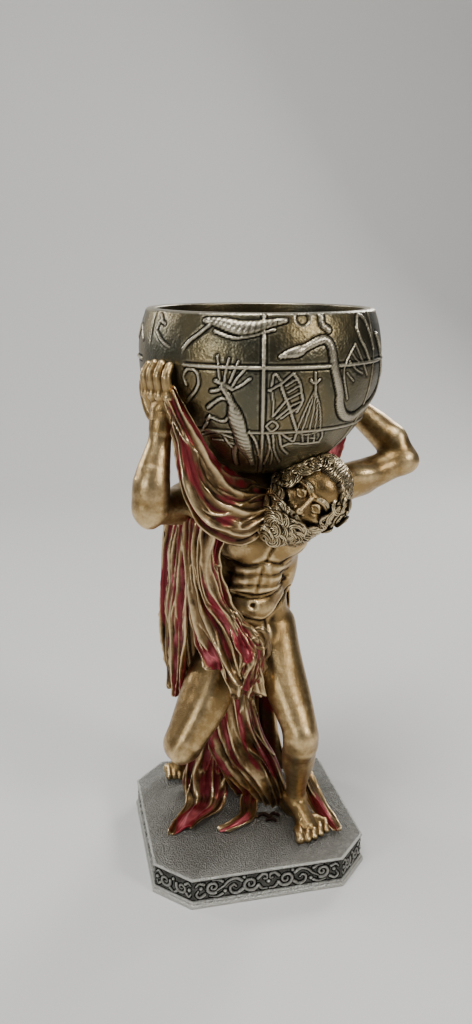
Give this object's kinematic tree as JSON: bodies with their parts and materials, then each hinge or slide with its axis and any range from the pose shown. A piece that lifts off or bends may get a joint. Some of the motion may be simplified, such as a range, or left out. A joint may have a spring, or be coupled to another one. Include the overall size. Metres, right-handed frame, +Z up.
{
  "type": "atlas statue bowl",
  "caption": "Bronze-finished statuette of a bearded man in a cloak who carries a relief star globe, cut open at the top as a bowl, on a low plinth with cut corners.",
  "frame": {"origin": "middle of the plinth's underside", "axes": "+Z up, -Y out of the statue's front, +X towards the side of the figure's left hand"},
  "size_m": [0.1617, 0.1218, 0.3],
  "materials": {
    "plinth": "pewter-coloured metallic paint on cast resin, grainy top",
    "atlas_figure": "polished bronze-coloured metallic paint on cast resin, with wine red in the cloak's folds",
    "globe_bowl": "dark bronze-coloured metallic paint on cast resin, pale on the raised relief"
  },
  "bodies": {
    "root": {"plinth": "plinth", "atlas_figure": "atlas_figure", "globe_bowl": "globe_bowl"}
  },
  "joints": []
}
